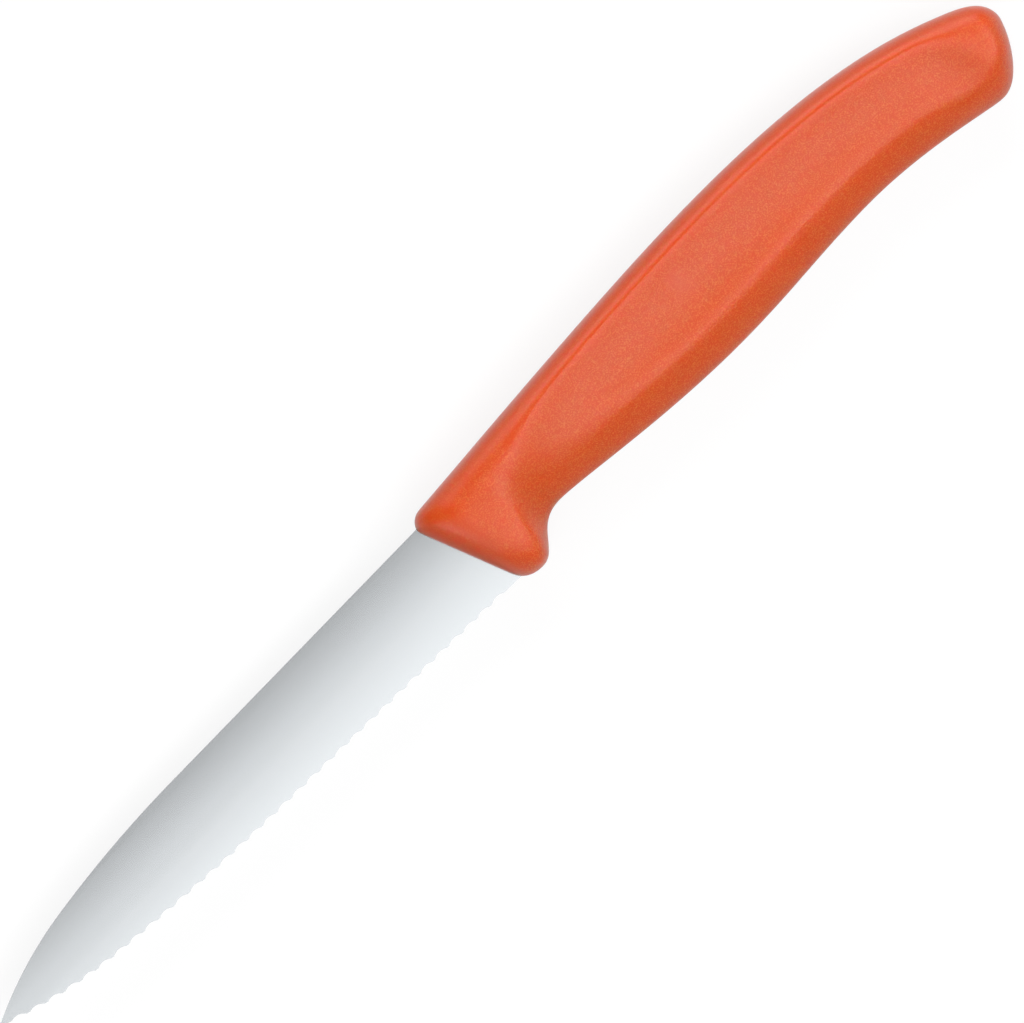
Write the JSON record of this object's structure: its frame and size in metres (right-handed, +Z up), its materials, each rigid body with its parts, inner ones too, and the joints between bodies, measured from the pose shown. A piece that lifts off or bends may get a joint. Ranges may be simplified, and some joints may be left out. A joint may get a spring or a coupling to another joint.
{
  "type": "serrated paring knife",
  "caption": "Paring knife with a slim pointed blade, a fine wave-ground cutting edge and a moulded orange handle with a guard, finger notch, scooped flanks and a hooked butt.",
  "frame": {"origin": "on the surface that the knife lies on, under the middle of the whole knife", "axes": "+X along the blade's back from the tip to the butt, +Y from the cutting edge to the back, +Z up through the thickness, towards the face without the wave grind"},
  "size_m": [0.2074, 0.0222, 0.0141],
  "materials": {
    "blade_steel": "satin-ground stainless steel, with fine grinding lines along the blade",
    "handle_plastic": "orange polypropylene, moulded with a fine pebbled grain"
  },
  "bodies": {
    "root": {"blade": "blade_steel", "handle": "handle_plastic"}
  },
  "joints": []
}
